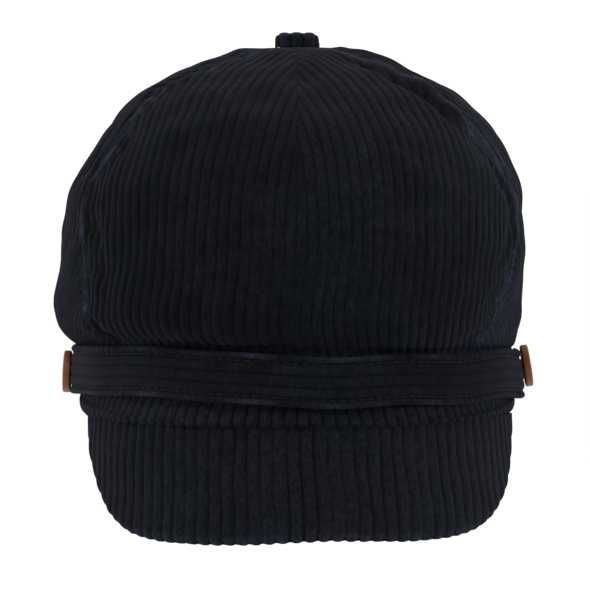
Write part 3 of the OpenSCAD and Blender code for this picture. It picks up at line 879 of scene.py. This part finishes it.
def strap_sag(angles):
    """The strap rides a little higher on the wearer's right."""
    sag = 0.35 * wander_along(angles, 40, 71) - 2.3 * bump(angles, 90, 16)
    return sag + 3.0 * bump(angles, -38, 26)


def make_strap():
    count = 720
    angles = STRAP_END * np.sin(np.pi / 2 * np.linspace(-1, 1, count)) * 0.35
    angles += STRAP_END * np.linspace(-1, 1, count) * 0.65
    to_end = (STRAP_END - np.abs(angles)) * math.pi / 180 * STRAP_OUT_L
    corner = 4.5
    cut = corner - np.sqrt(np.clip(corner ** 2 - np.clip(corner - to_end, 0, corner) ** 2, 0, None))
    half = (STRAP_H / 2 - cut)[:, None]
    share = np.linspace(-1, 1, 66)[None]
    fold = 1.1
    z = half * share
    from_edge = np.minimum(half - np.abs(z), to_end[:, None])
    round_off = fold - np.sqrt(np.clip(fold ** 2 - np.clip(fold - from_edge, 0, fold) ** 2, 0, None))
    stitch_line = STRAP_H / 2 - 3.1
    pressed = 0.4 * bump(np.abs(z), stitch_line, 0.75)
    along = ring_distance(angles)[:, None] + 0 * z
    puckers = 0.16 * wander_along(along, 5.5, 72) * bump(np.abs(z), stitch_line + 1.4, 1.6)
    ridges = wale(z + STRAP_PITCH * 0.5 + 0.25 * wander_along(along, 60, 73), STRAP_PITCH) * 0.8
    ridges = ridges * (1 - 0.5 * bump(np.abs(z), stitch_line, 0.9))
    outs = -round_off - pressed + puckers + (ridges - 0.8) * WALE_H * 0.75
    outs = outs + 0.3 * wander(np.stack([along, z], -1), 55, 74)
    lift = strap_sag(angles)[:, None]
    for side, sign, lean in (("left", 1, 9.0), ("right", -1, 2.5)):
        above = STRAP_Z + lift + z - JOINTS[f"{side}_button_turn"]["pos_m"][2] / MM
        room = BUTTON_BACK - above * math.tan(math.radians(lean)) - 0.3
        outs = outs + np.clip(room, -0.2, 1.9) * ease(angles * sign, 70, 88)[:, None]
    heights = STRAP_Z + lift + z
    outer = strap_ring(angles, outs, heights)
    middle = -STRAP_T / 2
    face_inner = strap_ring(angles, np.minimum(outs - 0.06, middle), heights)
    # Painted light and shade along the strap, partly the pile lying another way: paler towards the wearer's
    # right end, much darker towards the left.
    painted_light_by_place = 0.05 + 0.15 * ease(-angles, 35, 75) - 0.6 * ease(angles, 10, 60)
    cloth = np.stack([z / STRAP_PITCH + 1200.5, along, painted_light_by_place[:, None] + 0 * z], -1)
    # Wear and painted highlights along the strap's edges, less of them towards the wearer's left.
    edge_wear_and_highlight = (0.3 + 0.25 * wander_along(along, 30, 75)) * bump(half - np.abs(z), 0.6, 1.3)
    edge_wear_and_highlight = np.clip(edge_wear_and_highlight * (1 - 0.6 * ease(angles, 20, 60))[:, None], 0, 1)
    shaded = 1 - 0.4 * ease(angles, 20, 60)[:, None]
    face = cloth_shell("strap_front", outer, face_inner, "strap", "corduroy", CORDUROY,
                       pile=ridges / 0.8 * shaded, cloth=cloth, wear_and_painted_light=edge_wear_and_highlight)
    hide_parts("strap_face")
    back_outs = np.minimum(outs, middle) - 0.03
    back_in = np.minimum(-STRAP_T + 1.1 * round_off / fold, back_outs - 0.06)
    back_outer = strap_ring(angles, back_outs, heights)
    back_inner = strap_ring(angles, back_in, heights)
    back = cloth_shell("strap_back", back_outer, back_inner, "strap", "corduroy", CORDUROY,
                       pile=ridges / 0.8, cloth=cloth)
    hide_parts("strap_backing", "strap_interlining")
    lines = []
    for sign in (-1, 1):
        at = np.linspace(-STRAP_END + 3, STRAP_END - 3, 1200)
        height = sign * stitch_line
        column = np.argmin(np.abs(share[0] * STRAP_H / 2 - height))
        out = np.interp(at, angles, outs[:, column])[:, None] + 0.08
        lift_at = strap_sag(at)[:, None]
        lines.append(strap_ring(at, out, STRAP_Z + lift_at + height)[:, 0])
    stitch_row("strap_topstitch", lines, "strap", 2.9, 0.8, 0.2)


# ---- Peak ----

PEAK_SLOPE = math.radians(57)
PEAK_COS, PEAK_SIN = math.cos(PEAK_SLOPE), math.sin(PEAK_SLOPE)
PEAK_R = (BAND_L - 0.5) * PEAK_SIN
PEAK_DROP = 42.6
PEAK_SIDE_POWER = 10
PEAK_FRONT_POWER = 1.9
PEAK_T = 4.6
PEAK_SHIFT = 1.3           # it sits a little towards the wearer's left
PEAK_TILT = 0.011          # and hangs a little lower on the other side
PEAK_FAN = 0.0009          # its ridges spread out towards its edge by this much for each mm


def peak_point(phi, along, depth):
    """A point of the peak, a sheet bent round a cylinder whose axis slopes down to the front."""
    r = PEAK_R - depth
    z = r * np.cos(phi) * PEAK_COS - along * PEAK_SIN
    x = r * np.sin(phi) + PEAK_SHIFT + 1.2 * ease(-z, 8, 34)
    return np.stack([x, -r * np.cos(phi) * PEAK_SIN - along * PEAK_COS, z], axis=2)


def peak_edge(x, phi, depth, half, lift=0):
    """How far along the cylinder the peak's outline lies, for places sideways."""
    drop = PEAK_DROP * (1 - (np.abs(x) / half) ** PEAK_SIDE_POWER) ** (1 / PEAK_FRONT_POWER)
    edge_z = -drop + PEAK_TILT * x + lift
    return ((PEAK_R - depth) * np.cos(phi) * PEAK_COS - edge_z) / PEAK_SIN


def peak_root(phi):
    """How far along the cylinder the band's lower edge lies."""
    return PEAK_R * np.cos(phi) * PEAK_COS / PEAK_SIN


def outline_distance(u, along, edge_u, edge_along):
    """Distance of each point of the flat peak from its outline."""
    flat = np.stack([u, along], -1).reshape(-1, 2)
    outline = np.stack([edge_u, edge_along], 1)
    start, step = outline[:-1], np.diff(outline, axis=0)
    distance = np.empty(len(flat))
    chunk = 2000
    for k in range(0, len(flat), chunk):
        gap = flat[k:k + chunk, None] - start[None]
        t = np.clip((gap * step).sum(-1) / np.maximum((step ** 2).sum(-1), 1e-12), 0, 1)
        distance[k:k + chunk] = np.linalg.norm(gap - t[..., None] * step, axis=-1).min(1)
    return distance.reshape(u.shape)


def make_peak():
    columns, rows = 441, 92
    middle = PEAK_T / 2
    q = np.linspace(-1, 1, columns)
    x = PEAK_HALF_W * (0.55 * q + 0.45 * np.sin(q * np.pi / 2))
    phi = np.arcsin(x / (PEAK_R - middle))
    root = peak_root(phi) - 0.9
    edge = peak_edge(x, phi, middle, PEAK_HALF_W / 0.996, 1.7 * bump(x, 8, 26))
    ends = wale(PEAK_R * phi * (1 - PEAK_FAN * (edge - root)))
    edge = np.maximum(edge + 0.35 * (ends - 0.6), root + 2)
    share = (1 - np.linspace(0, 1, rows)[None]) ** 1.15
    along = root[:, None] + (edge - root)[:, None] * share
    phi = phi[:, None] + 0 * share
    u = PEAK_R * phi
    corner = [root[0], *edge, root[-1]]
    distance = outline_distance(u, along, np.array([u[0, 0], *u[:, 0], u[-1, 0]]), np.array(corner))
    reach = 2.3
    curve = 1 - np.sqrt(1 - np.clip(1 - distance / reach, 0, 1) ** 2)
    place = np.stack([u, along], -1)
    soft = 0.5 * wander(place, 60, 81) + 0.2 * wander(place, 17, 82)
    wobble = 0.3 * wander(place, 50, 83) + 0.2 * wander(place * [1, 0.5], 14, 85)
    wobble = wobble * ease(distance, 0, 8) - u * PEAK_FAN * (along - root[:, None])
    height = 0.9 + 0.1 * wander(place, 19, 84)
    ridges = wale(u + wobble)
    pile = uneven_pile(ridges * height, place, 86)
    # Painted light by place, partly the pile lying another way: the peak is paler towards the wearer's left.
    painted_light_by_place = 0.07 + 0.5 * ease(x, -70, 20)[:, None] + 0 * u
    cloth = np.stack([(u + wobble) / WALE_PITCH + 1500, along, painted_light_by_place], -1)
    fade = ease(distance, 0, 3)
    # Wear and painted highlights along the peak's outline.
    wear_and_painted_light = 0.55 * bump(distance, 0.4, 1.6)
    names = (("peak_upper_cloth", 1, "peak_top"), ("peak_lower_cloth", -1, "peak_underside"))
    for name, side, node in names:
        face = middle - side * middle * (1 - curve) - 0.25 * side * soft * fade
        smooth = peak_point(phi, along, face)
        n = grid_normals(smooth) * side
        outer = smooth + n * ((ridges * height - 0.75) * WALE_H)[..., None]
        cover = 1.9 if side > 0 else 1.1
        inner = face + side * np.minimum(cover, np.maximum(np.abs(middle - face) - 0.05, 0.1))
        inner = peak_point(phi, along, inner)
        piece = cloth_shell(name, outer[::side], inner[::side], "cap", "corduroy", CORDUROY,
                            pile=pile[::side], cloth=cloth[::side], wear_and_painted_light=wear_and_painted_light[::side])
        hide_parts(node)


def make_peak_board():
    """The stiff board between the peak's two cloths, a little smaller than they are."""
    columns, rows, inset = 161, 40, 3.5
    middle = PEAK_T / 2 + 0.35
    x = np.linspace(-1, 1, columns) * (PEAK_HALF_W - inset)
    phi = np.arcsin(x / (PEAK_R - middle))
    root = peak_root(phi)
    edge = np.maximum(peak_edge(x, phi, middle, PEAK_HALF_W - inset + 0.4) - inset, root + 1)
    along = edge[:, None] + (root - edge)[:, None] * np.linspace(0, 1, rows)[None]
    phi = phi[:, None] + 0 * along
    faces = [peak_point(phi, along, middle + half + 0 * along) for half in (-0.6, 0.6)]
    board = cloth_shell("peak_board_card", *faces, "cap", "board", BOARD)
    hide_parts("peak_board")


# ---- Buttons ----

def lathe(profile, sides):
    """Points and faces of a closed solid of revolution about +Z, from (radius, height) points that
    run from the bottom centre outwards and up to the top centre."""
    turn = np.linspace(0, 2 * np.pi, sides, endpoint=False)
    inner = profile[1:-1]
    points = [[r * math.cos(t), r * math.sin(t), z] for r, z in inner for t in turn]
    points += [[0, 0, profile[0][1]], [0, 0, profile[-1][1]]]
    bottom, top = len(points) - 2, len(points) - 1
    faces = round_faces(len(inner), sides)[:-2]
    last = (len(inner) - 1) * sides
    for k in range(sides):
        faces.append([(k + 1) % sides, k, bottom])
        faces.append([last + k, last + (k + 1) % sides, top])
    return np.array(points, float), faces


def side_frame(side):
    """The matrix that puts a side button's own +Z along its joint's axis, at its sewing point."""
    joint = JOINTS[f"{side}_button_turn"]
    turn = Vector(joint["axis"]).to_track_quat("Z", "Y").to_matrix().to_4x4()
    return Matrix.Translation(Vector(joint["pos_m"]) / MM) @ turn


def placed(points, matrix):
    m = np.array(matrix)
    return np.asarray(points) @ m[:3, :3].T + m[:3, 3]


def make_side_button(side):
    matrix = side_frame(side)
    t = np.linspace(0, np.pi / 2, 7)
    rim = 0.75
    back = [(BUTTON_R - rim + rim * math.sin(k), rim - rim * math.cos(k)) for k in t]
    front = [(BUTTON_R - rim + rim * math.cos(k), BUTTON_T - rim + rim * math.sin(k)) for k in t]
    dish = [(BUTTON_R - 1.7, BUTTON_T - 0.04), (BUTTON_R - 2.2, BUTTON_T - 0.3),
            (BUTTON_R - 2.9, BUTTON_T - 0.55), (BUTTON_R - 4.0, BUTTON_T - 0.68), (2, BUTTON_T - BUTTON_DISH)]
    profile = [(0, 0), (BUTTON_R * 0.5, 0), *back, *front, *dish, (0, BUTTON_T - BUTTON_DISH)]
    points, faces = lathe(profile, 96)
    points[:, 2] += BUTTON_BACK
    button = make_piece(f"{side}_button_turned", placed(points, matrix), faces, f"{side}_button",
                        WOOD)
    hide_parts(f"{side}_button")
    for k in range(4):
        turn = math.radians(45 + 90 * k)
        hole = Vector((HOLE_OFFSET * math.cos(turn), HOLE_OFFSET * math.sin(turn), BUTTON_BACK))
        bore(button, matrix @ hole, matrix.to_3x3() @ Vector((0, 0, 1)), HOLE_R, BORE_LENGTH)
    stitch_cross(side, matrix)
    wound_shank(side, matrix)


def bore(obj, middle, axis, radius, length):
    """Cuts a round hole through a piece."""
    profile = [(0, -length / 2), (radius, -length / 2), (radius, length / 2), (0, length / 2)]
    points, faces = lathe(profile, 24)
    matrix = Matrix.Translation(middle) @ axis.to_track_quat("Z", "Y").to_matrix().to_4x4()
    mesh = bpy.data.meshes.new("cutter")
    mesh.from_pydata((placed(points, matrix) * MM).tolist(), [], faces)
    cutter = bpy.data.objects.new("cutter", mesh)
    bpy.context.scene.collection.objects.link(cutter)
    modifier = obj.modifiers.new("hole", "BOOLEAN")
    modifier.object, modifier.operation, modifier.solver = cutter, "DIFFERENCE", "EXACT"
    bpy.context.view_layer.update()
    depsgraph = bpy.context.evaluated_depsgraph_get()
    result = bpy.data.meshes.new_from_object(obj.evaluated_get(depsgraph))
    obj.modifiers.clear()
    old = obj.data
    obj.data = result
    result.name = old.name
    bpy.data.meshes.remove(old)
    bpy.data.objects.remove(cutter)
    bpy.data.meshes.remove(mesh)


def tube(path, radius, sides=10):
    """Points and faces of a closed round tube along a path."""
    path = np.asarray(path, float)
    forward = np.gradient(path, axis=0)
    forward /= np.linalg.norm(forward, axis=1, keepdims=True)
    side = np.cross(forward[0], [0.31, 0.27, 0.91])
    points = []
    turn = np.linspace(0, 2 * np.pi, sides, endpoint=False)
    for p, f in zip(path, forward):
        side = side - f * (side @ f)
        side /= np.linalg.norm(side)
        other = np.cross(f, side)
        points += [p + radius * (math.cos(t) * side + math.sin(t) * other) for t in turn]
    return points, round_faces(len(path), sides)


def joined(parts):
    """Several (points, faces) as one."""
    points, faces = [], []
    for p, f in parts:
        faces += [[k + len(points) for k in face] for face in f]
        points += list(p)
    return np.array(points), faces


def stitch_cross(side, matrix):
    """Two pairs of threads crossed over the button's face and down through its holes."""
    face = BUTTON_BACK + BUTTON_T - BUTTON_DISH
    parts = []
    for pair, turn in enumerate((45, 135)):
        direction = np.array([math.cos(math.radians(turn)), math.sin(math.radians(turn)), 0])
        across = np.array([-direction[1], direction[0], 0])
        for lane in (-0.34, 0.34):
            path = []
            for k in np.linspace(-1, 1, 25):
                reach = min(abs(k) * 1.35, 1)
                place = math.copysign(reach, k) * HOLE_OFFSET
                drop = max(0, abs(k) - 0.74) / 0.26
                height = face + (0.1 + 0.35 * pair) * math.cos(min(reach, 1) * math.pi / 2) + 0.2
                path.append(direction * place + across * lane * (1 - 0.4 * drop)
                            + np.array([0, 0, height - drop * (face + 0.34 - BUTTON_BACK - 0.2)]))
            parts.append(tube(path, 0.3))
    points, faces = joined(parts)
    piece = make_piece(f"{side}_button_threads", placed(points, matrix), faces, f"{side}_button",
                       THREAD)
    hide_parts(f"{side}_button_cross_stitch")


def wound_shank(side, matrix):
    """The thread between strap and button, wound round into a post, and its run through the band."""
    joint = JOINTS[f"{side}_button_turn"]
    out = np.array([1.0 if joint["axis"][0] > 0 else -1.0, 0, 0])
    foot = np.array(joint["pos_m"]) / MM
    inside, outside = foot - out * 6.9, foot + out * 0.2
    parts = [tube([inside + (outside - inside) * k for k in np.linspace(0, 1, 12)], 1.35, 16)]
    turns, steps = 4, 26
    k = np.arange(turns * steps + 1) / steps
    coil = np.stack([1.05 * np.cos(k * 2 * np.pi), 1.05 * np.sin(k * 2 * np.pi), 0.15 + k * 0.4], 1)
    parts.append(tube(placed(coil, matrix), 0.24, 8))
    post = [[0, 0, z] for z in np.linspace(-0.2, BUTTON_BACK - 0.1, 6)]
    parts.append(tube(placed(post, matrix), 1.0, 16))
    points, faces = joined(parts)
    piece = make_piece(f"{side}_button_wound_thread", points, faces, "cap", THREAD)
    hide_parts(f"{side}_button_shank")


def make_top_button():
    """The covered button: corduroy drawn over a low drum and tucked under."""
    low, high = cad_box("top_button_cover")
    r, h = high.x, high.z - low.z
    t = np.linspace(0, 1, 46)
    radius = r * (1 - t ** 3.2) ** (1 / 2.6)
    height = low.z - 0.1 + (h + 0.1) * np.sin(t * np.pi / 2) ** 0.8
    tuck = np.array([[r - 2.0, low.z - 0.1], [r - 1.0, low.z - 0.4], [r - 0.1, low.z - 0.3]])
    profile_r = np.concatenate([tuck[:, 0], radius])
    profile_z = np.concatenate([tuck[:, 1], height])
    angles = np.linspace(0, 360, 192, endpoint=False)
    a = np.radians(angles)[:, None]
    smooth = np.stack([profile_r * np.sin(a), -profile_r * np.cos(a), profile_z + 0 * a], axis=2)
    n = grid_normals(smooth, closed=True)
    ridges = wale(smooth[..., 0] + WALE_PITCH / 2 + 0.3 * wander(smooth, 12, 95))
    gathers = 0.22 * wander_along(angles, 24, 96)[:, None]
    gathers = gathers * (1 - ease(smooth[..., 2], low.z + 0.5, low.z + 3))
    outer = smooth + n * ((ridges - 1) * WALE_H * 0.8 + gathers)[..., None]
    inner = smooth - n * 1.2
    inner[..., 2] = np.maximum(inner[..., 2], low.z)
    # Painted light: the button is painted paler towards the wearer's left, partly the pile lying another way.
    painted_light_by_place = 0.5 + 0.3 * ease(smooth[..., 0], -2, 8)
    cloth = np.stack([smooth[..., 0] / WALE_PITCH + 1800.5, smooth[..., 1] + smooth[..., 2],
                      painted_light_by_place], -1)
    # Painted highlight: the whole button is painted a little paler, and its top much paler, palest at the top
    # rim.
    wear_and_painted_light = 0.22 + 0.6 * ease(smooth[..., 2], high.z - 2.2, high.z - 0.3)
    piece = cloth_shell("top_button_corduroy", outer, inner, "cap", "corduroy", CORDUROY,
                        closed=True, pile=ridges, cloth=cloth, wear_and_painted_light=wear_and_painted_light)
    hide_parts("top_button_cover")


def make_label():
    """A blank folded label, sewn to the sweatband at the centre back."""
    low, high = cad_box("size_label")
    width = high.x - low.x
    angles = 180 + np.degrees(np.linspace(width / 2, -width / 2, 41) / OPEN_W)
    heights = np.linspace(low.z, high.z, 25)[None]
    curl = 0.5 * ease(heights, high.z - 9, high.z) * bump(angles[:, None], 180, 12)
    outs = -2.0 - curl + 0 * heights
    outer = opening_ring(angles[::-1], outs + 0.45, heights)
    inner = opening_ring(angles[::-1], outs, heights)
    along = np.linspace(0, width, 41)[:, None] + 0 * heights
    cloth = np.stack([along, heights + 0 * along, 0 * along], -1)
    piece = cloth_shell("blank_label", outer, inner, "cap", "label", LABEL, cloth=cloth)
    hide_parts("size_label")


def dress(node, material):
    """Gives a CAD node that stays its own material."""
    obj = frame["nodes"][node]
    obj.data.materials.clear()
    obj.data.materials.append(material)


# ---- Stage ----

VIEW_DISTANCE = 1600
VIEW_ELEVATION = 2.0
VIEW_HEIGHT = 46.7
VIEW_SIDE = -0.8
VIEW_WIDTH = 239.0


def make_camera():
    camera = bpy.data.objects.new("camera", bpy.data.cameras.new("camera"))
    bpy.context.scene.collection.objects.link(camera)
    e = math.radians(VIEW_ELEVATION)
    back = Vector((0, -math.cos(e), math.sin(e)))
    camera.location = (Vector((VIEW_SIDE, 0, VIEW_HEIGHT)) + back * VIEW_DISTANCE) * MM
    camera.rotation_euler = back.to_track_quat("Z", "Y").to_euler()
    camera.data.sensor_width = 36
    camera.data.lens = 36 * VIEW_DISTANCE / VIEW_WIDTH
    camera.data.clip_start, camera.data.clip_end = 0.1, 50
    bpy.context.scene.camera = camera


def area_light(name, place, target, size, power, colour=(1, 1, 1)):
    data = bpy.data.lights.new(name, "AREA")
    data.shape, data.size, data.energy, data.color = "DISK", size, power, colour
    light = bpy.data.objects.new(name, data)
    bpy.context.scene.collection.objects.link(light)
    light.location = place
    light.rotation_euler = (Vector(place) - Vector(target)).to_track_quat("Z", "Y").to_euler()


def make_stage():
    size = 60
    mesh = bpy.data.meshes.new("floor")
    z = cad_low.z - 0.3
    corners = [(-size, -size, z), (size, -size, z), (size, size, z), (-size, size, z)]
    mesh.from_pydata(corners, [], [(0, 1, 2, 3)])
    floor = bpy.data.objects.new("floor", mesh)
    bpy.context.scene.collection.objects.link(floor)
    n = Nodes("floor")
    mesh.materials.append(n.finish(Base_Color=rgb(0.92, 0.92, 0.92), Roughness=0.9,
                                   Specular_IOR_Level=0.1))
    world = bpy.data.worlds.new("world")
    bpy.context.scene.world = world
    world.use_nodes = True
    background = world.node_tree.nodes["Background"]
    background.inputs["Color"].default_value = (1, 1, 1, 1)
    background.inputs["Strength"].default_value = 1.1
    area_light("key", (-0.5, -1.2, 1.6), (0, 0, 0.06), 0.8, 26)
    area_light("side_right", (1.3, -0.1, 0.5), (0, 0, 0.06), 0.6, 13)
    area_light("side_left", (-1.3, -0.1, 0.5), (0, 0, 0.06), 0.6, 11)
    area_light("top", (0.1, 0.4, 1.5), (0, 0, 0.1), 0.7, 11)
    view = bpy.context.scene.view_settings
    view.view_transform, view.look = "Standard", "None"
    view.exposure, view.gamma = 0.0, 1.0


make_camera()
make_stage()
make_crown()
make_lining()
make_headband()
make_sweatband()
make_label()
make_strap()
make_peak()
make_peak_board()
for side in ("left", "right"):
    make_side_button(side)
make_top_button()
dress("band_stiffener", BOARD)
dress("back_elastic", INTERLINING)
for node in ("top_button_shell", "top_button_fastener"):
    dress(node, METAL)
